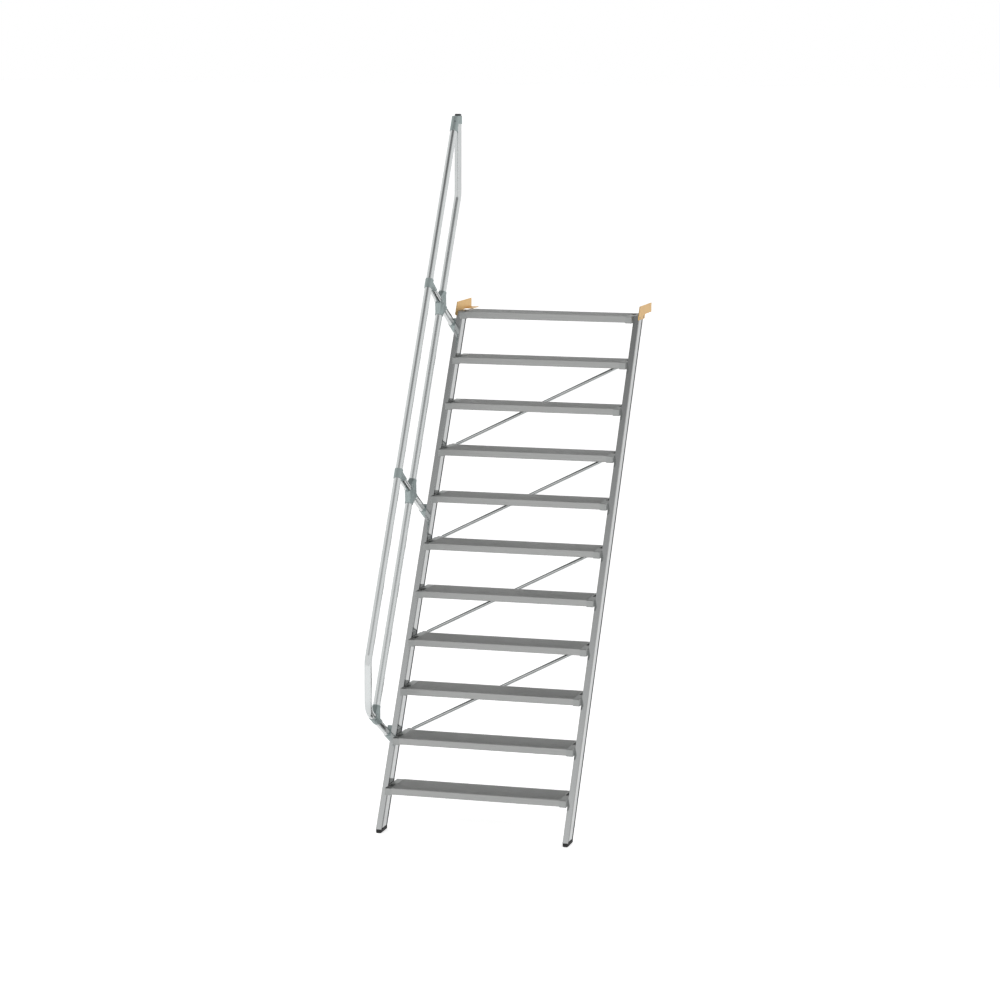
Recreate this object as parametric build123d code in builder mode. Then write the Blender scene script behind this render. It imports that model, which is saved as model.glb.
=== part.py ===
from build123d import *
from math import cos, radians, sin, tan
import os

# Industrial stair at 60 degrees: eleven grooved aluminium treads between two
# box stringers, a double tube handrail on one side, rubber feet, and two
# steel hooks that hang the stair on the edge of a platform.
# X runs across the stair, Y away from the user and Z up. The origin is on the
# underside of the right hook's tab, which rests on the platform.

# Driving dimensions, in millimetres and degrees.
tread_count = 11
pitch = 60
rise = 243
clear_width = 1000
foot_drop = 234

tread_depth = 225
tread_height = 34
tread_wall = 3
groove_pitch = 9
groove_width = 4.5
groove_depth = 2.5
plain_front = 20
plain_rear = 16
nose_radius = 3

end_width = 36
end_height = 38
end_wall = 4
end_cheek = 6

stringer_width = 30
stringer_depth = 95
stringer_set_back = 50
stringer_wall = 3
stringer_rim = 5
stringer_slot = 8
slot_depth = 5
stringer_recess = 2.5
foot_height = 22
foot_corner = 4
foot_edge = 7

tube_diameter = 40
tube_wall = 2.5
rail_gap = 5
top_rail_height = 449.5
mid_rail_height = 190.5
rail_foot = 327
post_middle_at = 1630
post_upper_at = 2766
rail_front_y = -108
rail_rear_y = 1558.5
bend_radius = 90

fitting_wall = 3
fit = 0.1
stub_wall = 2
web_width = 34
web_edge = 8
tee_length = 54
tee_long_side = 119
tee_short_side = 50
cross_length = 144
cross_side = 57
low_tee_above = 38
low_tee_below = 94
low_tee_short = 40
low_tee_reach = 71
low_tee_web = 50

connector_spread = 90
connector_reach = 99
connector_height = 46
rake_length = 45
plug_height = 11
plug_inset = 1.5
plug_edge = 3

socket_top = 62
socket_bottom = 158
block_below = 22
block_above = 24
low_block_above = 40
post_past_stringer = 6

brace_diameter = 20
brace_wall = 2
brace_gap = 1
brace_lead = 5
lug_width = 24
lug_height = 20
first_braced_tread = 2
treads_per_brace = 2
brace_count = 4

hook_thickness = 4
hook_top = 52
hook_front_off = 30
hook_drop = 23
hook_lower_length = 155
hook_lower_cut = 10
hook_tab_width = 43
hook_tab_length = 115
hook_tab_gap = 5

# The slope: along runs up the nose line from the first tread, off stands
# square to it, upwards and forwards.
going = rise / tan(radians(pitch))
step = rise / sin(radians(pitch))
along_dir = Vector(0, cos(radians(pitch)), sin(radians(pitch)))
off_dir = Vector(0, -sin(radians(pitch)), cos(radians(pitch)))
across_dir = Vector(1, 0, 0)
up_dir = Vector(0, 0, 1)

half_width = clear_width / 2
outer_x = half_width + stringer_width
middle_x = -(outer_x - hook_tab_width / 2)
hook_reach = tread_depth + hook_tab_gap + hook_tab_length / 2
first_nose = Vector(
    middle_x,
    -hook_reach - (tread_count - 1) * going,
    -(tread_count - 1) * rise,
)
floor_z = first_nose.Z - foot_drop


def on_slope(across, along, off):
    return first_nose + across_dir * across + along_dir * along + off_dir * off


def nose(number):
    return first_nose + Vector(0, going, rise) * (number - 1)


def side_plane(point):
    # local x runs along +Y and local y along +Z
    return Plane(origin=point, x_dir=(0, 1, 0), z_dir=(1, 0, 0))


def cross_plane(point, direction):
    return Plane(origin=point, x_dir=across_dir, z_dir=direction)


def save(solid, name):
    solid.label = name
    export_step(solid, f"parts/{name}.step")


os.makedirs("parts", exist_ok=True)


# Stringers: box extrusions with three chambers and a slot along each edge of
# both sides.
stringer_top = nose(tread_count).Z
stringer_bottom = floor_z + foot_height
stringer_centre = stringer_set_back + stringer_depth / 2


def stringer(side):
    centre = on_slope(side * (half_width + stringer_width / 2), 0, -stringer_centre)
    with BuildPart() as beam:
        with BuildSketch(cross_plane(centre, along_dir)):
            Rectangle(stringer_width, stringer_depth)
            flange = stringer_rim + stringer_slot
            web = stringer_depth - 2 * flange
            recess_x = (stringer_width - stringer_recess) / 2
            with Locations((recess_x, 0), (-recess_x, 0)):
                Rectangle(stringer_recess, web, mode=Mode.SUBTRACT)
            slot_spread_x = stringer_width - slot_depth
            slot_spread_y = web + stringer_slot
            with GridLocations(slot_spread_x, slot_spread_y, 2, 2):
                Rectangle(slot_depth, stringer_slot, mode=Mode.SUBTRACT)
            Rectangle(
                stringer_width - 2 * (stringer_recess + stringer_wall),
                web - 2 * stringer_wall,
                mode=Mode.SUBTRACT,
            )
            edge_chamber = flange - stringer_wall
            with GridLocations(1, web + edge_chamber, 1, 2):
                Rectangle(
                    stringer_width - 2 * (slot_depth + stringer_wall),
                    edge_chamber,
                    mode=Mode.SUBTRACT,
                )
        extrude(amount=tread_count * step, both=True)
        split(bisect_by=Plane.XY.offset(stringer_bottom), keep=Keep.TOP)
        split(bisect_by=Plane.XY.offset(stringer_top), keep=Keep.BOTTOM)
    return beam.part


def stringer_y(z, off):
    # where a line of the stringer, at this distance off the slope, meets a level
    rise_from_first = z - first_nose.Z
    lean = rise_from_first * cos(radians(pitch)) - off
    return first_nose.Y + lean / sin(radians(pitch))


foot_length = stringer_depth / sin(radians(pitch))


def foot(side):
    x = middle_x + side * (half_width + stringer_width / 2)
    y = stringer_y(stringer_bottom, -stringer_centre)
    with BuildPart() as shoe:
        with BuildSketch(Plane.XY.offset(floor_z)):
            with Locations((x, y)):
                RectangleRounded(stringer_width, foot_length, foot_corner)
        extrude(amount=foot_height)
        fillet(shoe.faces().sort_by(Axis.Z)[0].edges(), radius=foot_edge)
    return shoe.part


for side, word in ((-1, "left"), (1, "right")):
    save(stringer(side), f"stringer_{word}")
    save(foot(side), f"foot_{word}")


# Treads: hollow extruded boards with a grooved deck, a smooth nosing box in
# front and a second box along the rear.
board_length = clear_width - 2 * end_width
front_box = 24
rear_box = 18
groove_count = int((tread_depth - plain_front - plain_rear) / groove_pitch) + 1
groove_middle = plain_front + (groove_count - 1) * groove_pitch / 2


def tread(number):
    start = nose(number) + across_dir * (-board_length / 2)
    with BuildPart() as board:
        with BuildSketch(side_plane(start)) as profile:
            with BuildLine():
                Polyline(
                    (0, 0),
                    (tread_depth, 0),
                    (tread_depth, -tread_height),
                    (0, -tread_height),
                    close=True,
                )
            make_face()
            fillet(profile.vertices().group_by(Axis.Y)[0], radius=nose_radius)
            deck = groove_depth + tread_wall
            chamber = tread_height - deck - tread_wall
            chamber_y = -deck - chamber / 2
            with Locations((tread_wall + front_box / 2, chamber_y)):
                Rectangle(front_box, chamber, mode=Mode.SUBTRACT)
            with Locations((tread_depth - tread_wall - rear_box / 2, chamber_y)):
                Rectangle(rear_box, chamber, mode=Mode.SUBTRACT)
            bay_start = 2 * tread_wall + front_box
            bay_end = tread_depth - 2 * tread_wall - rear_box
            bay = (bay_end - bay_start - 2 * tread_wall) / 3
            for index in range(3):
                centre = bay_start + bay / 2 + index * (bay + tread_wall)
                with Locations((centre, -deck - tread_height / 2)):
                    Rectangle(bay, tread_height, mode=Mode.SUBTRACT)
            with Locations((groove_middle, -groove_depth / 2)):
                with GridLocations(groove_pitch, 0, groove_count, 1):
                    Rectangle(groove_width, groove_depth, mode=Mode.SUBTRACT)
        extrude(amount=board_length)
    return board.part


def tread_end(number, side):
    outer = nose(number) + across_dir * (side * half_width)
    inner = nose(number) + across_dir * (side * (half_width - end_width))
    start = inner if side > 0 else outer
    pocket_shift = 0 if side > 0 else end_cheek
    with BuildPart() as casting:
        with BuildSketch(side_plane(start)) as outline:
            with Locations((tread_depth / 2, -end_height / 2)):
                Rectangle(tread_depth, end_height)
            fillet(outline.vertices(), radius=nose_radius)
        extrude(amount=end_width)
        with BuildSketch(side_plane(start + across_dir * pocket_shift)):
            with Locations((tread_depth / 2, -end_wall - end_height / 2)):
                Rectangle(tread_depth - 2 * end_wall, end_height)
        extrude(amount=end_width - end_cheek, mode=Mode.SUBTRACT)
        for rib_at in (tread_depth / 3, 2 * tread_depth / 3):
            with BuildSketch(side_plane(start)):
                with Locations((rib_at, -(end_height - end_wall) / 2)):
                    Rectangle(end_wall, end_height - end_wall)
            extrude(amount=end_width)
    return casting.part


for number in range(1, tread_count + 1):
    save(tread(number), f"tread_{number:02d}")

for side, word in ((-1, "left"), (1, "right")):
    ends = [tread_end(number, side) for number in range(1, tread_count + 1)]
    save(Compound(children=ends), f"tread_ends_{word}")


# Braces: round tubes behind the treads, each from a lug on the left end of one
# tread to a lug on the right end of the next tread but one.
brace_x = half_width - end_width / 2
rear_corner_off = -tread_depth * sin(radians(pitch)) - end_height * cos(radians(pitch))
brace_off = rear_corner_off - brace_gap - brace_diameter / 2
brace_along = tread_depth * cos(radians(pitch)) + brace_lead


def brace_point(number, side):
    return on_slope(side * brace_x, (number - 1) * step + brace_along, brace_off)


def brace(low_number):
    low = brace_point(low_number, -1)
    high = brace_point(low_number + treads_per_brace, 1)
    with BuildPart() as rod:
        with BuildSketch(Plane(origin=low, z_dir=high - low)):
            Circle(brace_diameter / 2)
            Circle(brace_diameter / 2 - brace_wall, mode=Mode.SUBTRACT)
        extrude(amount=(high - low).length)
        split(bisect_by=Plane.YZ.offset(low.X + lug_width / 2), keep=Keep.TOP)
        split(bisect_by=Plane.YZ.offset(high.X - lug_width / 2), keep=Keep.BOTTOM)
    return rod.part


def brace_lug(number, side):
    hold = brace_point(number, side)
    face_y = nose(number).Y + tread_depth
    back_y = hold.Y + brace_diameter / 2
    with BuildPart() as lug:
        with BuildSketch(Plane.XZ.offset(-face_y)):
            with Locations((hold.X, hold.Z)):
                Rectangle(lug_width, lug_height)
        extrude(amount=-(back_y - face_y))
    return lug.part


lugs = []
for index in range(brace_count):
    low_number = first_braced_tread + index * treads_per_brace
    save(brace(low_number), f"brace_{index + 1}")
    lugs.append(brace_lug(low_number, -1))
    lugs.append(brace_lug(low_number + treads_per_brace, 1))
save(Compound(children=lugs), "brace_lugs")


# Handrail: two bent tubes in one plane beside the left stringer. The top rail
# turns down at its lower end, bends again and ends as the lowest post.
tube_radius = tube_diameter / 2
rail_across = -(outer_x + rail_gap + tube_radius)


def rail_point(along, off):
    return on_slope(rail_across, along, off)


def rail_at_y(off, y):
    along = (y - first_nose.Y + off * sin(radians(pitch))) / cos(radians(pitch))
    return rail_point(along, off)


front_y = first_nose.Y + rail_front_y
rear_y = first_nose.Y + rail_rear_y
post_end = -(stringer_set_back + stringer_depth + post_past_stringer)
front_off = (rail_foot * cos(radians(pitch)) - rail_front_y) / sin(radians(pitch))
sleeve_radius = tube_radius + fitting_wall
stub_radius = tube_radius + stub_wall

# The raking sleeve of the top connector starts here, and its reach up the
# slope sets how high the rails end.
rake_low = rail_at_y(top_rail_height, rear_y - connector_spread)
top_rail_end = rake_low + along_dir * rake_length
rear_top = Vector(rake_low.X, rear_y, (rake_low + along_dir * connector_reach).Z)


def bent_tube(points, name):
    with BuildPart() as tube:
        with BuildLine():
            path = FilletPolyline(*points, radius=bend_radius)
        with BuildSketch(Plane(origin=path @ 0, z_dir=path % 0)):
            Circle(tube_radius)
            Circle(tube_radius - tube_wall, mode=Mode.SUBTRACT)
        sweep()
    save(tube.part, name)


bent_tube(
    (
        rail_point(rail_foot, post_end),
        rail_point(rail_foot, front_off),
        rail_at_y(top_rail_height, front_y),
        top_rail_end,
    ),
    "top_rail",
)
mid_start = rail_foot + sleeve_radius
bent_tube(
    (
        rail_point(mid_start, mid_rail_height),
        rail_at_y(mid_rail_height, rear_y),
        rear_top,
    ),
    "mid_rail",
)


# Posts: short tubes square to the slope, interrupted by the cross fittings.
def post(along):
    spans = (
        (post_end, mid_rail_height - sleeve_radius),
        (mid_rail_height + sleeve_radius, top_rail_height - sleeve_radius),
    )
    pieces = []
    for low, high in spans:
        with BuildPart() as stub:
            with BuildSketch(cross_plane(rail_point(along, low), off_dir)):
                Circle(tube_radius)
                Circle(tube_radius - tube_wall, mode=Mode.SUBTRACT)
            extrude(amount=high - low)
        pieces.append(stub.part)
    return Compound(children=pieces)


save(post(post_middle_at), "post_middle")
save(post(post_upper_at), "post_upper")


# Rail fittings: castings with a sleeve round the tube that runs through, a
# socket for each tube that meets it, and thick webs in the corners between.
def branch(centre, run_dir, stub_dir, outline):
    # outline is a closed polygon in the plane of the two tubes, first
    # distance along the run and second along the stub
    web_plane = Plane(origin=centre, x_dir=run_dir, z_dir=run_dir.cross(stub_dir))
    with BuildPart() as web:
        with BuildSketch(web_plane):
            with BuildLine():
                Polyline(*outline, close=True)
            make_face()
        extrude(amount=web_width / 2, both=True)
        sides = web.faces().sort_by(Axis.X)
        fillet(sides[0].edges() + sides[-1].edges(), radius=web_edge)
    with BuildPart() as socket:
        with BuildSketch(web_plane):
            with BuildLine():
                Polyline(*outline, close=True)
            make_face()
        extrude(amount=stub_radius + fit, both=True)
        with BuildSketch(cross_plane(centre, stub_dir)):
            Circle(stub_radius)
        extrude(amount=cross_length, mode=Mode.INTERSECT)
    return web.part, socket.part


def fitting(centre, run_dir, run_low, run_high, branches):
    with BuildPart() as casting:
        with BuildSketch(cross_plane(centre + run_dir * run_low, run_dir)):
            Circle(sleeve_radius)
        extrude(amount=run_high - run_low)
        for stub_dir, outline in branches:
            web, socket = branch(centre, run_dir, stub_dir, outline)
            add(web)
            add(socket)
        with BuildSketch(cross_plane(centre, run_dir)):
            Circle(tube_radius + fit)
        extrude(amount=2 * cross_length, both=True, mode=Mode.SUBTRACT)
        for stub_dir, outline in branches:
            with BuildSketch(cross_plane(centre + stub_dir * sleeve_radius, stub_dir)):
                Circle(tube_radius + fit)
            extrude(amount=2 * cross_length, mode=Mode.SUBTRACT)
    return casting.part


cross_outline = (
    (-cross_length / 2, 0),
    (cross_length / 2, 0),
    (cross_length / 2, stub_radius),
    (stub_radius, cross_side),
    (-stub_radius, cross_side),
    (-cross_length / 2, stub_radius),
)
tee_outline = (
    (-tee_length / 2, 0),
    (tee_length / 2, 0),
    (stub_radius, tee_long_side),
    (-stub_radius, tee_short_side),
)
low_tee_outline = (
    (-low_tee_web, 0),
    (low_tee_above, 0),
    (stub_radius, low_tee_reach),
    (-stub_radius, low_tee_reach),
    (-low_tee_web, stub_radius),
)
for place, along in (("middle", post_middle_at), ("upper", post_upper_at)):
    tee = fitting(
        rail_point(along, top_rail_height),
        along_dir,
        -tee_length / 2,
        tee_length / 2,
        ((-off_dir, tee_outline),),
    )
    save(tee, f"rail_tee_{place}")
    cross = fitting(
        rail_point(along, mid_rail_height),
        along_dir,
        -cross_length / 2,
        cross_length / 2,
        ((off_dir, cross_outline), (-off_dir, cross_outline)),
    )
    save(cross, f"rail_cross_{place}")

# The lowest tee's sleeve ends on a slant, short in front and long behind.
low_tee_centre = rail_point(rail_foot, mid_rail_height)
short_end = low_tee_centre - along_dir * sleeve_radius - off_dir * low_tee_short
long_end = low_tee_centre + along_dir * sleeve_radius - off_dir * low_tee_below
slant = (long_end - short_end).normalized()
with BuildPart() as lower_tee:
    add(
        fitting(
            low_tee_centre,
            off_dir,
            -low_tee_below,
            low_tee_above,
            ((along_dir, low_tee_outline),),
        )
    )
    split(bisect_by=Plane(origin=short_end, x_dir=across_dir, z_dir=across_dir.cross(slant)))
save(lower_tee.part, "rail_tee_lower")


# Top connector: an upright sleeve on the mid rail's end and a raking sleeve on
# the top rail's end, cast together.
upright_low = rear_top - up_dir * connector_height
upright_plane = Plane(origin=upright_low, x_dir=across_dir, z_dir=up_dir)
with BuildPart() as connector:
    with BuildSketch(upright_plane):
        Circle(sleeve_radius)
    extrude(amount=connector_height)
    with BuildSketch(cross_plane(rake_low, along_dir)):
        Circle(stub_radius)
    extrude(amount=2 * connector_reach)
    with BuildSketch(upright_plane):
        Circle(tube_radius + fit)
    extrude(amount=connector_height, mode=Mode.SUBTRACT)
    with BuildSketch(cross_plane(rake_low, along_dir)):
        Circle(tube_radius + fit)
    extrude(amount=rake_length, mode=Mode.SUBTRACT)
    split(bisect_by=Plane.XY.offset(rear_top.Z), keep=Keep.BOTTOM)
save(connector.part, "top_connector")

with BuildPart() as plug:
    with BuildSketch(Plane(origin=rear_top, x_dir=across_dir, z_dir=up_dir)):
        Circle(tube_radius - plug_inset)
    extrude(amount=plug_height)
    chamfer(plug.edges().group_by(Axis.Z)[-1], length=plug_edge)
save(plug.part, "rail_plug")


# Post clamps: a block bolted to the stringer's outer face, with a socket round
# the post's lower end.
def post_clamp(along, above, name):
    post_foot = rail_point(along, 0)
    half_block = rail_gap + tube_radius
    with BuildPart() as saddle:
        with BuildSketch(cross_plane(post_foot - off_dir * stringer_set_back, off_dir)):
            with Locations((half_block / 2, (above - block_below) / 2)):
                Rectangle(half_block, above + block_below)
        extrude(amount=-stringer_depth)
        with BuildSketch(cross_plane(post_foot - off_dir * socket_bottom, off_dir)):
            Circle(stub_radius)
        extrude(amount=socket_bottom - socket_top)
        with BuildSketch(cross_plane(post_foot, off_dir)):
            Circle(tube_radius + fit)
        extrude(amount=2 * socket_bottom, both=True, mode=Mode.SUBTRACT)
    save(saddle.part, name)


post_clamp(rail_foot, low_block_above, "post_clamp_lower")
post_clamp(post_middle_at, block_above, "post_clamp_middle")
post_clamp(post_upper_at, block_above, "post_clamp_upper")


# Hooks: steel plates bolted outside the stringers. Their front edge follows
# the stringer, and a tab turned inwards rests on the platform.
def front_edge_y(z):
    return stringer_y(z, -hook_front_off)


def hook(side):
    plate_x = middle_x + side * (outer_x + (hook_thickness if side < 0 else 0))
    tab_end = hook_tab_length / 2
    heel = front_edge_y(0)
    toe = heel + hook_lower_length
    with BuildPart() as plate:
        with BuildSketch(side_plane(Vector(plate_x, 0, 0))):
            with BuildLine():
                Polyline(
                    (front_edge_y(hook_top), hook_top),
                    (tab_end, hook_top),
                    (tab_end, 0),
                    (toe, 0),
                    (toe - hook_lower_cut, -hook_drop),
                    (heel, -hook_drop),
                    (heel, 0),
                    close=True,
                )
            make_face()
        extrude(amount=hook_thickness)
        tab_centre = middle_x + side * (outer_x - hook_tab_width / 2)
        with BuildSketch(Plane.XY):
            with Locations((tab_centre, 0)):
                Rectangle(hook_tab_width, hook_tab_length)
        extrude(amount=hook_thickness)
    return plate.part


for side, word in ((-1, "left"), (1, "right")):
    save(hook(side), f"hook_{word}")
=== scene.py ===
import math

import bpy
from mathutils import Matrix, Vector


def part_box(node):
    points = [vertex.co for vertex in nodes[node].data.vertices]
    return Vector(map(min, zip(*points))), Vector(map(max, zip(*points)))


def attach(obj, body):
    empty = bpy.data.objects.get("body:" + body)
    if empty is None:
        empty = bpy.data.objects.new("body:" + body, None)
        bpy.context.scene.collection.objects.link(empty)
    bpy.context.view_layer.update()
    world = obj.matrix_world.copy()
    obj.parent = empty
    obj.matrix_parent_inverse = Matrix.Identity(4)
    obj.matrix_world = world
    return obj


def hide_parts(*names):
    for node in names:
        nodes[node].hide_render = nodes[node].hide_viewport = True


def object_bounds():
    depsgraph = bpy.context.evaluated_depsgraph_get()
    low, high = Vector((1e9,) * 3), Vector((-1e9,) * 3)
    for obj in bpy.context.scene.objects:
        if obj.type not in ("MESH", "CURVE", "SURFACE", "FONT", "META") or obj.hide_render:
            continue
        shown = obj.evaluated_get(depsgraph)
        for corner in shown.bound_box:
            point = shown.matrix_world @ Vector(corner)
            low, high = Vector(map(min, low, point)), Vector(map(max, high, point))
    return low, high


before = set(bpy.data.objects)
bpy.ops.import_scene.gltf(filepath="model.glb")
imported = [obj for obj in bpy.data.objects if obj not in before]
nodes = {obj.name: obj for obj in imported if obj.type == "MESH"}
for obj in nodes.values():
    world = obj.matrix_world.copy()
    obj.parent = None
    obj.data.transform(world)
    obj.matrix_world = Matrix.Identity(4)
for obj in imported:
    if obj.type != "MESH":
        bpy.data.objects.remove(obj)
cad_low, cad_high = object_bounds()
bpy.ops.object.select_all(action="DESELECT")


# Treads. Eleven hollow boards of extruded aluminium, left as they come from
# the press. Saw-cut to length and screwed into a cast end at each side. The
# deck is ribbed along the board so that a wet shoe grips.
def paint(hex_code):
    channels = [int(hex_code[i:i + 2], 16) / 255 for i in (1, 3, 5)]
    linear = [c / 12.92 if c <= 0.04045 else ((c + 0.055) / 1.055) ** 2.4 for c in channels]
    return (*linear, 1.0)


def add_node(tree, kind, settings=None, inputs=None):
    node = tree.nodes.new(kind)
    for key, value in (settings or {}).items():
        setattr(node, key, value)
    for key, value in (inputs or {}).items():
        if isinstance(value, bpy.types.NodeSocket):
            tree.links.new(value, node.inputs[key])
        else:
            node.inputs[key].default_value = value
    return node


def new_finish(name, hex_code, metallic, roughness):
    material = bpy.data.materials.new(name)
    material.use_nodes = True
    shader = material.node_tree.nodes["Principled BSDF"]
    shader.inputs["Base Color"].default_value = paint(hex_code)
    shader.inputs["Metallic"].default_value = metallic
    shader.inputs["Roughness"].default_value = roughness
    return material, material.node_tree, shader


def vary(tree, shader, factor, dark_hex, light_hex, smooth, rough):
    # one pattern moves the tone and the gloss together
    tone = add_node(tree, "ShaderNodeMix", {"data_type": "RGBA"}, {
        "Factor": factor, "A": paint(dark_hex), "B": paint(light_hex)})
    tree.links.new(tone.outputs["Result"], shader.inputs["Base Color"])
    gloss = add_node(tree, "ShaderNodeMapRange", None, {
        "Value": factor, "To Min": smooth, "To Max": rough})
    tree.links.new(gloss.outputs["Result"], shader.inputs["Roughness"])


def die_lines(tree, turn, line_mm, run_mm):
    # streaks that the press leaves along a profile: fine across, long along
    place = add_node(tree, "ShaderNodeTexCoord")
    turned = add_node(tree, "ShaderNodeVectorRotate", {"rotation_type": "X_AXIS"}, {
        "Vector": place.outputs["Object"], "Angle": turn})
    scaled = add_node(tree, "ShaderNodeMapping", None, {
        "Vector": turned.outputs["Vector"],
        "Scale": (1000 / line_mm[0], 1000 / line_mm[1], 1000 / run_mm)})
    return add_node(tree, "ShaderNodeTexNoise", None, {
        "Vector": scaled.outputs["Vector"], "Scale": 1.0, "Detail": 3.0, "Roughness": 0.6})


def dress(node_name, slot, *materials):
    piece = nodes[node_name]
    piece.data.materials.clear()
    for material in materials:
        piece.data.materials.append(material)
    return piece


# Mill-finish extruded aluminium: soft grey metal with faint lines along the board.
board_metal, board_tree, board_shader = new_finish("mill_extruded_aluminium_board", "#A4A5A4", 1.0, 0.4)
board_place = add_node(board_tree, "ShaderNodeTexCoord")
board_scale = add_node(board_tree, "ShaderNodeMapping", None, {
    "Vector": board_place.outputs["Object"], "Scale": (1000 / 900, 1000 / 3, 1000 / 3)})
board_lines = add_node(board_tree, "ShaderNodeTexNoise", None, {
    "Vector": board_scale.outputs["Vector"], "Scale": 1.0, "Detail": 3.0})
vary(board_tree, board_shader, board_lines.outputs["Fac"], "#989998", "#AEAFAE", 0.34, 0.5)

# The ribbed deck is the same metal, dulled by wear and dirt in the grooves.
deck_metal, deck_tree, deck_shader = new_finish("mill_extruded_aluminium_deck", "#A8A9A8", 1.0, 0.5)
deck_place = add_node(deck_tree, "ShaderNodeTexCoord")
deck_wear = add_node(deck_tree, "ShaderNodeTexNoise", None, {
    "Vector": deck_place.outputs["Object"], "Scale": 1000 / 60, "Detail": 4.0})
vary(deck_tree, deck_shader, deck_wear.outputs["Fac"], "#9C9D9C", "#B4B5B4", 0.45, 0.6)

# the ribs' sides and tops take the deck finish, and the board's front and back don't
deck_depth = 0.0035
rib_top = 0.001
upright = 0.99
tread_names = sorted(n for n in nodes if n.startswith("tread_") and "ends" not in n)
for name in tread_names:
    board = dress(name, "tread_board", board_metal, deck_metal)
    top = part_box(name)[1].z
    for face in board.data.polygons:
        in_deck = face.center.z > top - deck_depth and abs(face.normal.y) < upright
        if in_deck or face.center.z > top - rib_top:
            face.material_index = 1


# Tread ends and brace lugs. Sand-cast aluminium. The ends are bolted flat
# against the inner faces of the stringers, and the lugs stand on their backs.
cast_metal, cast_tree, cast_shader = new_finish("sand_cast_aluminium", "#A3A5A4", 1.0, 0.5)
cast_place = add_node(cast_tree, "ShaderNodeTexCoord")
# sand grain of about 0.8 mm, drawn at 3 mm so that it shows
cast_grain = add_node(cast_tree, "ShaderNodeTexNoise", None, {
    "Vector": cast_place.outputs["Object"], "Scale": 1000 / 3, "Detail": 2.0})
vary(cast_tree, cast_shader, cast_grain.outputs["Fac"], "#969897", "#B0B2B1", 0.45, 0.62)
cast_bump = add_node(cast_tree, "ShaderNodeBump", None, {
    "Height": cast_grain.outputs["Fac"], "Strength": 0.15, "Distance": 0.0004})
cast_tree.links.new(cast_bump.outputs["Normal"], cast_shader.inputs["Normal"])
for name in ("tread_ends_left", "tread_ends_right", "brace_lugs"):
    dress(name, "cast_end", cast_metal)


# Each end has pockets open at the top in one half and a pocket open below in
# the other, where its two bolts are reached. One pattern serves both sides:
# turned end for end, its top pockets lie in front on the left, behind on the right.
def grow(height, narrow):
    # the selected faces move out along their normal and draw in by a factor
    bpy.ops.mesh.extrude_region_move(TRANSFORM_OT_translate={"value": (0, 0, height)})
    if narrow != 1:
        bpy.ops.transform.resize(value=(narrow, narrow, 1))


def pick_top(piece):
    # only the face that looks straight up, at the piece's highest level
    bpy.ops.mesh.select_all(action="DESELECT")
    bpy.ops.object.mode_set(mode="OBJECT")
    highest = max(v.co.z for v in piece.data.vertices)
    for face in piece.data.polygons:
        face.select = face.normal.z > upright and face.center.z > highest - 1e-6
    bpy.ops.object.mode_set(mode="EDIT")


def spread(pattern, name, places, finish):
    # a copy at each place, which is a point and the way the head looks
    bpy.ops.object.select_all(action="DESELECT")
    for point, outward in places:
        copy = pattern.copy()
        copy.data = pattern.data.copy()
        bpy.context.scene.collection.objects.link(copy)
        turn = Vector((0, 0, 1)).rotation_difference(Vector(outward)).to_matrix().to_4x4()
        copy.data.transform(Matrix.Translation(point) @ turn)
        copy.select_set(True)
        bpy.context.view_layer.objects.active = copy
    bpy.ops.object.join()
    group = bpy.context.object
    group.name = group.data.name = name
    group.data.materials.append(finish)
    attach(group, "root")
    bpy.ops.object.select_all(action="DESELECT")
    return group


end_low, end_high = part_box("tread_ends_left")
end_width = end_high.x - end_low.x
board_low, board_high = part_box(tread_names[0])
end_depth = board_high.y - board_low.y
end_height = 0.038
wall = 0.004
pocket_depth = 0.03
rib_at = 0.036
edge_radius = 0.003
bpy.ops.mesh.primitive_cube_add(
    size=1, location=(end_width / 2, end_depth / 2, -end_height / 2),
    scale=(end_width, end_depth, end_height))
tread_end = bpy.context.object
bpy.ops.object.transform_apply(location=True, rotation=True, scale=True)
bpy.ops.object.mode_set(mode="EDIT")
for cut_at in (rib_at, end_depth / 2):
    bpy.ops.mesh.select_all(action="SELECT")
    bpy.ops.mesh.bisect(plane_co=(0, cut_at, 0), plane_no=(0, 1, 0))
bpy.ops.mesh.select_all(action="DESELECT")
bpy.ops.mesh.select_mode(type="EDGE")
bpy.ops.object.mode_set(mode="OBJECT")
for edge in tread_end.data.edges:
    ends = [tread_end.data.vertices[v].co for v in edge.vertices]
    at_tip = all(min(end.y, end_depth - end.y) < edge_radius for end in ends)
    edge.select = at_tip and abs(ends[0].x - ends[1].x) > end_width / 2
bpy.ops.object.mode_set(mode="EDIT")
bpy.ops.mesh.bevel(offset=edge_radius, segments=3, affect="EDGES")
bpy.ops.mesh.select_mode(type="FACE")
for up, depth in ((1, -pocket_depth), (-1, pocket_depth)):
    bpy.ops.mesh.select_all(action="DESELECT")
    bpy.ops.object.mode_set(mode="OBJECT")
    for face in tread_end.data.polygons:
        in_front = face.center.y < end_depth / 2
        face.select = face.normal.z * up > upright and in_front == (up > 0)
    bpy.ops.object.mode_set(mode="EDIT")
    bpy.ops.mesh.inset(thickness=wall, depth=0, use_individual=True)
    grow(depth, 1)
bpy.ops.object.mode_set(mode="OBJECT")
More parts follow.
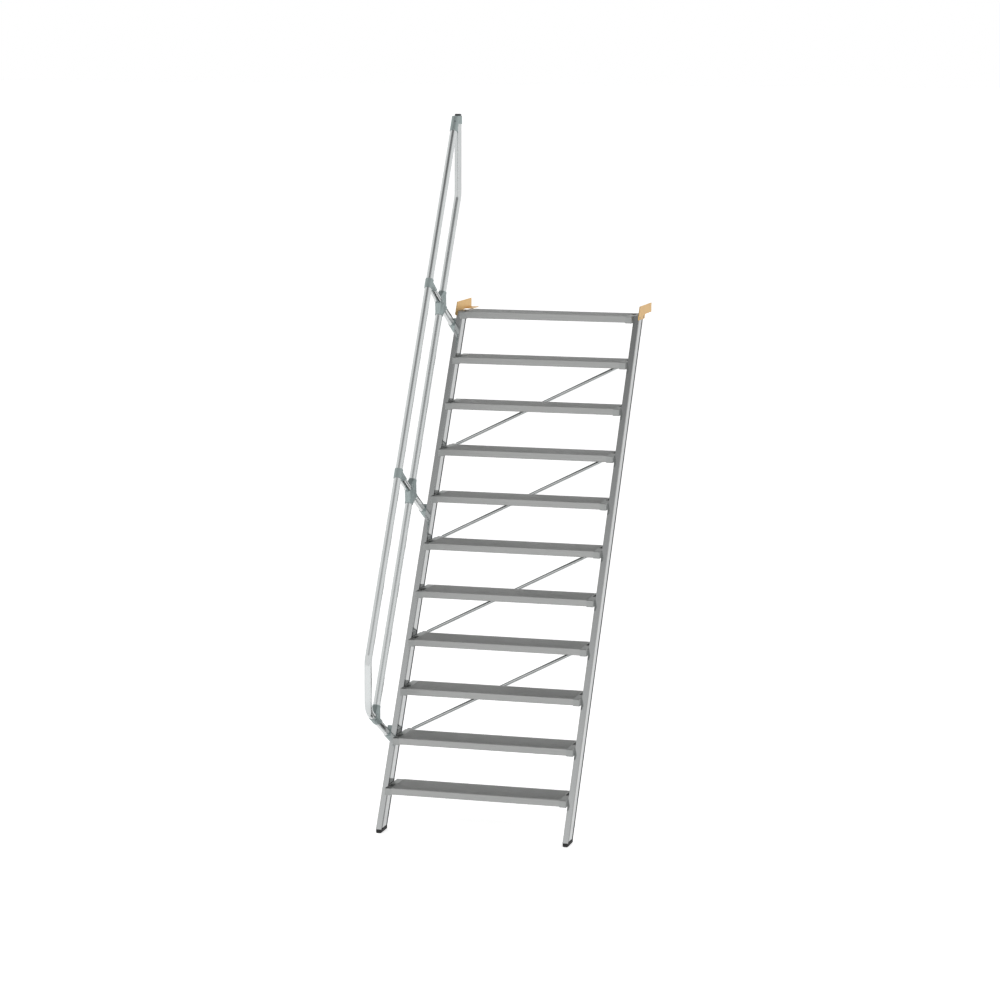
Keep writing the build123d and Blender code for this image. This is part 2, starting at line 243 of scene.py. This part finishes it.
for word in ("left", "right"):
    end_low, end_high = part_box(f"tread_ends_{word}")
    places = []
    for name in tread_names:
        board_low, board_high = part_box(name)
        places.append((Vector((end_low.x, board_low.y, board_high.z)), (0, 0, 1)))
    castings = spread(tread_end, f"tread_end_castings_{word}", places, cast_metal)
    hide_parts(f"tread_ends_{word}")
    # the next side's castings are turned end for end
    bpy.context.view_layer.objects.active = tread_end
    tread_end.select_set(True)
    bpy.ops.object.mode_set(mode="EDIT")
    bpy.ops.mesh.select_all(action="SELECT")
    bpy.ops.transform.rotate(
        value=math.pi, orient_axis="Z", center_override=(end_width / 2, end_depth / 2, 0))
    bpy.ops.object.mode_set(mode="OBJECT")
bpy.data.objects.remove(tread_end)


# Tread bolts. Hexagon bolts with pressed-on washers, zinc plated. Two in the
# pockets of each tread end run into the stringer's two slots.
washer_radius = 0.0105
washer_thickness = 0.0015
head_radius = 0.0092
head_height = 0.0055
chamfer_height = 0.0009
bpy.ops.mesh.primitive_cylinder_add(
    vertices=24, radius=washer_radius, depth=washer_thickness, end_fill_type="NGON",
    location=(0, 0, washer_thickness / 2))
hex_bolt = bpy.context.object
bpy.ops.object.transform_apply(location=True, rotation=True, scale=True)
bpy.ops.object.mode_set(mode="EDIT")
pick_top(hex_bolt)
bpy.ops.mesh.bevel(offset=0.0004, segments=1, affect="EDGES")
bpy.ops.object.mode_set(mode="OBJECT")
bpy.ops.mesh.primitive_cylinder_add(
    vertices=6, radius=head_radius, depth=head_height, end_fill_type="NGON",
    location=(0, 0, washer_thickness + head_height / 2))
hex_head = bpy.context.object
bpy.ops.object.transform_apply(location=True, rotation=True, scale=True)
bpy.ops.object.mode_set(mode="EDIT")
pick_top(hex_head)
grow(chamfer_height, 0.86)
bpy.ops.object.mode_set(mode="OBJECT")
hex_bolt.select_set(True)
bpy.context.view_layer.objects.active = hex_bolt
bpy.ops.object.join()

# Bright zinc plate: a cold, slightly blue grey, smoother than the castings.
zinc_metal, zinc_tree, zinc_shader = new_finish("zinc_plated_steel", "#8E9294", 1.0, 0.35)
zinc_place = add_node(zinc_tree, "ShaderNodeTexCoord")
zinc_cloud = add_node(zinc_tree, "ShaderNodeTexNoise", None, {
    "Vector": zinc_place.outputs["Object"], "Scale": 1000 / 8, "Detail": 2.0})
vary(zinc_tree, zinc_shader, zinc_cloud.outputs["Fac"], "#85898B", "#989C9E", 0.28, 0.42)

# below the deck and behind the nose, where the bolts meet the stringer's slots
bolt_drop = 0.019
bolts_behind_nose = (0.0572, 0.1461)
tread_bolts = []
for side, word in ((-1, "left"), (1, "right")):
    end_low, end_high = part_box(f"tread_ends_{word}")
    face_x = end_high.x - wall if side > 0 else end_low.x + wall
    for name in tread_names:
        board_low, board_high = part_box(name)
        for behind_nose in bolts_behind_nose:
            point = Vector((face_x, board_low.y + behind_nose, board_high.z - bolt_drop))
            tread_bolts.append((point, (-side, 0, 0)))
spread(hex_bolt, "tread_bolts", tread_bolts, zinc_metal)


# Stringers. Two box extrusions with a raised flange along each edge, satin
# from the press, so their flat webs mirror the treads softly.
slope = math.radians(60)
stringer_metal, stringer_tree, stringer_shader = new_finish("satin_extruded_aluminium", "#BDBFBF", 1.0, 0.1)
# Turned so that the third axis runs up the slope.
stringer_lines = die_lines(stringer_tree, slope - math.pi / 2, (4, 4), 1500)
vary(stringer_tree, stringer_shader, stringer_lines.outputs["Fac"], "#B5B7B7", "#C5C7C7", 0.07, 0.15)
# The slots' faces are painted darker than the beam: painted shade for the little of the room they see.
slot_shade_metal, slot_tree, slot_shader = new_finish("shaded_slot_aluminium", "#7A7E7F", 1.0, 0.5)
slot_place = add_node(slot_tree, "ShaderNodeTexCoord")
slot_shade_cloud = add_node(slot_tree, "ShaderNodeTexNoise", None, {
    "Vector": slot_place.outputs["Object"], "Scale": 1000 / 90, "Detail": 3.0})
vary(slot_tree, slot_shader, slot_shade_cloud.outputs["Fac"], "#6D7172", "#878B8C", 0.45, 0.6)

along = Vector((0, math.cos(slope), math.sin(slope)))
off = Vector((0, -math.sin(slope), math.cos(slope)))
first_low, first_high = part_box("tread_01")
first_nose = Vector(((first_low.x + first_high.x) / 2, first_low.y, first_high.z))
# A painted shade line darkens the web against the front flange's step, and
# fades out towards the middle. Shares are of the beam's depth from its front.
beam_front, beam_depth = 0.050, 0.095
shade_start, shade_full, shade_end = 0.006, 0.27, 0.31
web_place = add_node(stringer_tree, "ShaderNodeTexCoord")
web_depth = add_node(stringer_tree, "ShaderNodeVectorMath", {"operation": "DOT_PRODUCT"}, {
    0: web_place.outputs["Object"], 1: tuple(-off)})
web_share = add_node(stringer_tree, "ShaderNodeMapRange", None, {
    "Value": web_depth.outputs["Value"],
    "From Min": beam_front - off.dot(first_nose),
    "From Max": beam_front + beam_depth - off.dot(first_nose)})
painted_shade_line = add_node(stringer_tree, "ShaderNodeValToRGB", None, {"Fac": web_share.outputs["Result"]})
painted_shade_stops = painted_shade_line.color_ramp.elements
painted_shade_stops[0].position, painted_shade_stops[0].color = 0.0, (0, 0, 0, 1)
painted_shade_stops[1].position, painted_shade_stops[1].color = shade_end, (0, 0, 0, 1)
for share in (shade_start, shade_full):
    painted_shade_stops.new(share).color = (1, 1, 1, 1)
unshaded_tone = stringer_shader.inputs["Base Color"].links[0].from_socket
# the painted shade's dark colour is mixed in along the line
painted_shade_tone = add_node(stringer_tree, "ShaderNodeMix", {"data_type": "RGBA"}, {
    "Factor": painted_shade_line.outputs["Color"], "A": unshaded_tone, "B": paint("#555858")})
stringer_tree.links.new(painted_shade_tone.outputs["Result"], stringer_shader.inputs["Base Color"])

# distances behind the nose line between which a slot lies, in metres
slots = ((0.055, 0.063), (0.132, 0.140))
slack = 0.0002
# and how far a slot's faces lie from the beam's middle
slot_floor, side_face = 0.0095, 0.0149
for name in ("stringer_left", "stringer_right"):
    beam = dress(name, "stringer", stringer_metal, slot_shade_metal)
    beam_low, beam_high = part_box(name)
    for face in beam.data.polygons:
        across = abs(face.center.x - (beam_low.x + beam_high.x) / 2)
        behind = -off.dot(face.center - first_nose)
        in_slot = any(near - slack < behind < far + slack for near, far in slots)
        # faces inside a slot take the darker finish, which is painted shade
        if in_slot and slot_floor < across < side_face:
            face.material_index = 1


# Feet. Black moulded rubber shoes pushed on the stringers' lower ends, level
# with the floor.
rubber = new_finish("moulded_rubber", "#1A1B1B", 0.0, 0.75)[0]
for name in ("foot_left", "foot_right"):
    dress(name, "rubber_foot", rubber)


# Braces. Drawn aluminium tubes behind the treads. Their flattened ends are
# screwed to the lugs. Smooth bright metal with cloudy handling marks.
brace_metal, brace_tree, brace_shader = new_finish("drawn_aluminium_tube", "#C4C7C7", 1.0, 0.12)
brace_place = add_node(brace_tree, "ShaderNodeTexCoord")
brace_marks = add_node(brace_tree, "ShaderNodeTexNoise", None, {
    "Vector": brace_place.outputs["Object"], "Scale": 1000 / 70, "Detail": 3.0})
vary(brace_tree, brace_shader, brace_marks.outputs["Fac"], "#BDC0C0", "#CCCFCF", 0.09, 0.16)
for number in range(1, 5):
    dress(f"brace_{number}", "brace_tube", brace_metal)

# A button-head screw in the back of each lug holds the brace's flattened end.
# Its dome is drawn in two steps.
button_radius = 0.0055
socket_rim, socket_depth = 0.0007, 0.0014
bpy.ops.mesh.primitive_cylinder_add(
    vertices=20, radius=button_radius, depth=0.001, end_fill_type="NGON", location=(0, 0, 0.0005))
button_screw = bpy.context.object
bpy.ops.object.transform_apply(location=True, rotation=True, scale=True)
bpy.ops.object.mode_set(mode="EDIT")
pick_top(button_screw)
grow(0.001, 0.86)
grow(0.0006, 0.72)
# the socket: a rim is left round a sunk middle
bpy.ops.mesh.inset(thickness=socket_rim, depth=0)
grow(-socket_depth, 0.9)
bpy.ops.object.mode_set(mode="OBJECT")

lug_box_low, lug_box_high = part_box("brace_lugs")
lug_inset = 0.012
lug_height = 0.03
lug_faces = [
    face.center.copy() for face in nodes["brace_lugs"].data.polygons if face.normal.y > upright]
brace_screws = []
for brace_number in range(1, 5):
    rod_low, rod_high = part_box(f"brace_{brace_number}")
    rod_ends = (lug_box_low.x + lug_inset, rod_low.z), (lug_box_high.x - lug_inset, rod_high.z)
    for end_x, end_z in rod_ends:
        near = [f for f in lug_faces if abs(f.x - end_x) < lug_inset and abs(f.z - end_z) < lug_height]
        centre = sum(near, Vector()) / len(near)
        brace_screws.append((Vector((end_x, centre.y, centre.z)), (0, 1, 0)))
spread(button_screw, "brace_screws", brace_screws, zinc_metal)


# Handrail tubes and posts. Drawn aluminium tube, bent cold and polished. Long
# clear highlights run down it, slightly broken by polishing marks.
rail_metal, rail_tree, rail_shader = new_finish("polished_drawn_aluminium", "#CDD0D0", 1.0, 0.17)
rail_place = add_node(rail_tree, "ShaderNodeTexCoord")
rail_marks = add_node(rail_tree, "ShaderNodeTexNoise", None, {
    "Vector": rail_place.outputs["Object"], "Scale": 1000 / 120, "Detail": 3.0})
vary(rail_tree, rail_shader, rail_marks.outputs["Fac"], "#C7CACA", "#D4D7D7", 0.14, 0.22)
for name in ("top_rail", "mid_rail", "post_middle", "post_upper"):
    dress(name, "rail_tube", rail_metal)


# Rail fittings. Die-cast aluminium sleeves, tumbled smooth and locked by screws.
# A duller, slightly green grey beside the bright tubes.
fitting_metal, fitting_tree, fitting_shader = new_finish("tumbled_die_cast_aluminium", "#A6B1B0", 1.0, 0.58)
fitting_place = add_node(fitting_tree, "ShaderNodeTexCoord")
fitting_cloud = add_node(fitting_tree, "ShaderNodeTexNoise", None, {
    "Vector": fitting_place.outputs["Object"], "Scale": 1000 / 15, "Detail": 2.0})
vary(fitting_tree, fitting_shader, fitting_cloud.outputs["Fac"], "#9DA8A8", "#AFB9B8", 0.52, 0.64)
fittings = (
    "rail_tee_lower", "rail_tee_middle", "rail_tee_upper", "rail_cross_middle",
    "rail_cross_upper", "top_connector", "post_clamp_lower", "post_clamp_middle",
    "post_clamp_upper",
)
for name in fittings:
    dress(name, "cast_fitting", fitting_metal)

# Grub screws: short black steel screws with a hexagon socket, one for each
# tube end, sunk in the castings with their rims just proud.
grub_radius, grub_length = 0.0045, 0.004
grub_sunk = 0.0037
bpy.ops.mesh.primitive_cylinder_add(
    vertices=18, radius=grub_radius, depth=grub_length, end_fill_type="NGON",
    location=(0, 0, grub_length / 2 - grub_sunk))
grub_screw = bpy.context.object
bpy.ops.object.transform_apply(location=True, rotation=True, scale=True)
bpy.ops.object.mode_set(mode="EDIT")
pick_top(grub_screw)
bpy.ops.mesh.inset(thickness=0.0018, depth=0)
grow(-0.002, 0.95)
bpy.ops.object.mode_set(mode="OBJECT")

# Black oxide on steel: nearly black, with a soft oily gleam.
black_steel, black_tree, black_shader = new_finish("black_oxide_steel", "#3A3C3D", 1.0, 0.4)
black_place = add_node(black_tree, "ShaderNodeTexCoord")
black_cloud = add_node(black_tree, "ShaderNodeTexNoise", None, {
    "Vector": black_place.outputs["Object"], "Scale": 1000 / 6, "Detail": 2.0})
vary(black_tree, black_shader, black_cloud.outputs["Fac"], "#333536", "#444647", 0.34, 0.48)

rail_x = (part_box("post_middle")[0].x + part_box("post_middle")[1].x) / 2
sleeve_radius = 0.023
socket_radius = 0.022


def on_rail(up_slope, off_slope):
    point = first_nose + along * up_slope + off * off_slope
    point.x = rail_x
    return point


# Each screw is a place on a tube's middle line, a radius and a way outwards.
# Distances are up the slope from the first tread's nose and square to it.
away = Vector((-1, 0, 0))
behind_run = away * 0.9 - off * 0.436
behind_post = away * 0.9 + along * 0.436
mid_height, top_height = 0.1905, 0.4495
low_post = 0.327
upper_posts = (1.63, 2.766)
cross_reach = 0.058
grubs = []
for post_at in upper_posts:
    for shift in (-cross_reach, cross_reach):
        grubs.append((on_rail(post_at + shift, mid_height), sleeve_radius, behind_run))
        grubs.append((on_rail(post_at, mid_height + 0.8 * shift), socket_radius, behind_post))
    grubs.append((on_rail(post_at, top_height), sleeve_radius, behind_run))
    grubs.append((on_rail(post_at, top_height - 0.062), socket_radius, behind_post))
grubs.append((on_rail(low_post, mid_height - 0.045), sleeve_radius, behind_post))
grubs.append((on_rail(low_post + 0.06, mid_height), socket_radius, behind_run))
front_right = Vector((0.743, 0, 0)) - along * 0.669
grubs.append((on_rail(low_post, mid_height + 0.027), sleeve_radius, front_right))
grub_places = [(middle + way.normalized() * radius, way) for middle, radius, way in grubs]
# The top connector has two: one in front in the raking sleeve, and one behind
# in the upright sleeve.
grub_places.append((Vector((-1.0574, -0.2132, 1.0699)), (0.28, -0.83, 0.48)))
plug_low, plug_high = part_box("rail_plug")
behind_upright = Vector((-0.6, 0.8, 0))
upright_middle = (plug_low + plug_high) / 2
upright_middle.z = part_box("top_connector")[1].z - sleeve_radius
grub_places.append((upright_middle + behind_upright * sleeve_radius, behind_upright))
spread(grub_screw, "grub_screws", grub_places, black_steel)

# A button-head bolt through each clamp's socket and the post in it.
# Its head is let into the socket, so that it stays inside the fitting's outline.
below_slope = -0.11
head_let_in = 0.0016
clamp_bolts = []
for post_at in (low_post, *upper_posts):
    head_seat = on_rail(post_at, below_slope) + away * (socket_radius - head_let_in)
    clamp_bolts.append((head_seat, away))
spread(button_screw, "clamp_bolts", clamp_bolts, zinc_metal)
bpy.data.objects.remove(button_screw)
bpy.data.objects.remove(grub_screw)


# Plug. Moulded black polyamide, pressed into the upright tube's open end.
black_plastic = new_finish("moulded_black_polyamide", "#35393A", 0.0, 0.45)[0]
dress("rail_plug", "black_plug", black_plastic)


# Hooks. Laser-cut steel plate, zinc plated and passivated yellow, with a warm
# clouded sheen. Bolted outside the stringers' top ends.
hook_metal, hook_tree, hook_shader = new_finish("yellow_passivated_zinc", "#D8AE6C", 1.0, 0.36)
hook_place = add_node(hook_tree, "ShaderNodeTexCoord")
hook_cloud = add_node(hook_tree, "ShaderNodeTexNoise", None, {
    "Vector": hook_place.outputs["Object"], "Scale": 1000 / 30, "Detail": 3.0})
vary(hook_tree, hook_shader, hook_cloud.outputs["Fac"], "#D3A252", "#E3BF7E", 0.3, 0.42)
for name in ("hook_left", "hook_right"):
    dress(name, "plated_steel", hook_metal)

# Two bolts in each hook run into the stringer's slots. The left hook's have
# hexagon heads and the right hook's are countersunk, level with the plate.
hook_bolt_z = -0.0135
hook_bolt_ys = (-0.2274, -0.1385)
flush_radius, flush_length, flush_proud = 0.009, 0.002, 0.0001
left_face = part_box("hook_left")[0].x
right_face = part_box("hook_right")[1].x
spread(
    hex_bolt, "hook_bolts_left",
    [(Vector((left_face, y, hook_bolt_z)), (-1, 0, 0)) for y in hook_bolt_ys],
    black_steel)
bpy.data.objects.remove(hex_bolt)

bpy.ops.mesh.primitive_cylinder_add(
    vertices=28, radius=flush_radius, depth=flush_length, end_fill_type="NGON",
    location=(0, 0, flush_proud - flush_length / 2))
flush_bolt = bpy.context.object
bpy.ops.object.transform_apply(location=True, rotation=True, scale=True)
bpy.ops.object.mode_set(mode="EDIT")
pick_top(flush_bolt)
bpy.ops.mesh.inset(thickness=0.004, depth=0)
grow(-0.0012, 0.95)
bpy.ops.object.mode_set(mode="OBJECT")
spread(
    flush_bolt, "hook_bolts_right",
    [(Vector((right_face, y, hook_bolt_z)), (1, 0, 0)) for y in hook_bolt_ys],
    black_steel)
bpy.data.objects.remove(flush_bolt)


# Stage. A pale studio floor a hair under the stair's feet. It glows for the
# camera, so that it meets the white background, and a little less in mirrors.
camera_glow, mirror_glow = 0.56, 0.4
floor_gap = 0.001
bpy.ops.mesh.primitive_plane_add(size=400, location=(0, 0, cad_low.z - floor_gap))
floor = bpy.context.object
floor.name = "studio_floor"
floor_white, floor_tree, floor_shader = new_finish("studio_floor_white", "#F4F4F4", 0.0, 1.0)
floor_path = add_node(floor_tree, "ShaderNodeLightPath")
floor_mirrored = add_node(floor_tree, "ShaderNodeMath", {"operation": "MAXIMUM"}, {
    0: floor_path.outputs["Is Glossy Ray"], 1: floor_path.outputs["Is Transmission Ray"]})
floor_soft = add_node(floor_tree, "ShaderNodeMath", {"operation": "MULTIPLY"}, {
    0: floor_mirrored.outputs["Value"], 1: mirror_glow})
floor_glow = add_node(floor_tree, "ShaderNodeMath", {"operation": "MULTIPLY_ADD"}, {
    0: floor_path.outputs["Is Camera Ray"], 1: camera_glow, 2: floor_soft.outputs["Value"]})
floor_shader.inputs["Emission Color"].default_value = (1, 1, 1, 1)
floor_tree.links.new(floor_glow.outputs["Value"], floor_shader.inputs["Emission Strength"])
floor_shader.inputs["Specular IOR Level"].default_value = 0.0
floor.data.materials.append(floor_white)

# Studio room: white all round up to half height, with a dark ceiling above.
world = bpy.data.worlds.new("studio_room")
bpy.context.scene.world = world
world.use_nodes = True
room = world.node_tree
backdrop = room.nodes["Background"]
direction = add_node(room, "ShaderNodeTexCoord")
parts = add_node(room, "ShaderNodeSeparateXYZ", None, {"Vector": direction.outputs["Generated"]})
ceiling = add_node(room, "ShaderNodeMapRange", {"interpolation_type": "SMOOTHSTEP"}, {
    "Value": parts.outputs["Z"], "From Min": 0.62, "From Max": 0.86, "To Min": 1.0, "To Max": 0.12})
path = add_node(room, "ShaderNodeLightPath")
straight = add_node(room, "ShaderNodeMath", {"operation": "MAXIMUM"}, {
    0: path.outputs["Is Camera Ray"], 1: path.outputs["Is Transmission Ray"]})
level = add_node(room, "ShaderNodeMix", {"data_type": "FLOAT"}, {
    "Factor": straight.outputs["Value"], "A": ceiling.outputs["Result"], "B": 1.0})
room.links.new(level.outputs["Result"], backdrop.inputs["Strength"])
backdrop.inputs["Color"].default_value = (1, 1, 1, 1)


def soft_lamp(name, place, size, power, target):
    data = bpy.data.lights.new(name, "AREA")
    data.shape = "SQUARE"
    data.size = size
    data.energy = power
    lamp = bpy.data.objects.new(name, data)
    bpy.context.scene.collection.objects.link(lamp)
    lamp.location = place
    lamp.rotation_euler = (Vector(target) - Vector(place)).to_track_quat("-Z", "Y").to_euler()
    lamp.visible_camera = False
    lamp.visible_glossy = False


stair_middle = (-0.5, -0.8, -0.8)
soft_lamp("key_lamp", (-6, -9, 4), 5, 260, stair_middle)
soft_lamp("fill_lamp", (7, -6, 3), 5, 200, stair_middle)

# Camera at the photograph's place, fitted to the edges of the treads.
camera_data = bpy.data.cameras.new("photo_camera")
camera_data.sensor_width = 36.0
camera_data.lens = 111.75
camera_data.clip_end = 1000
camera = bpy.data.objects.new("photo_camera", camera_data)
bpy.context.scene.collection.objects.link(camera)
camera.location = (3.97875, -17.09535, 1.60451)
turn = Matrix.Rotation(math.radians(15.7696), 3, "Z")
tilt = Matrix.Rotation(math.radians(90 - 8.6937), 3, "X")
roll = Matrix.Rotation(math.radians(0.1319), 3, "Z")
camera.rotation_euler = (turn @ tilt @ roll).to_euler()
bpy.context.scene.camera = camera
bpy.context.scene.view_settings.view_transform = "Standard"
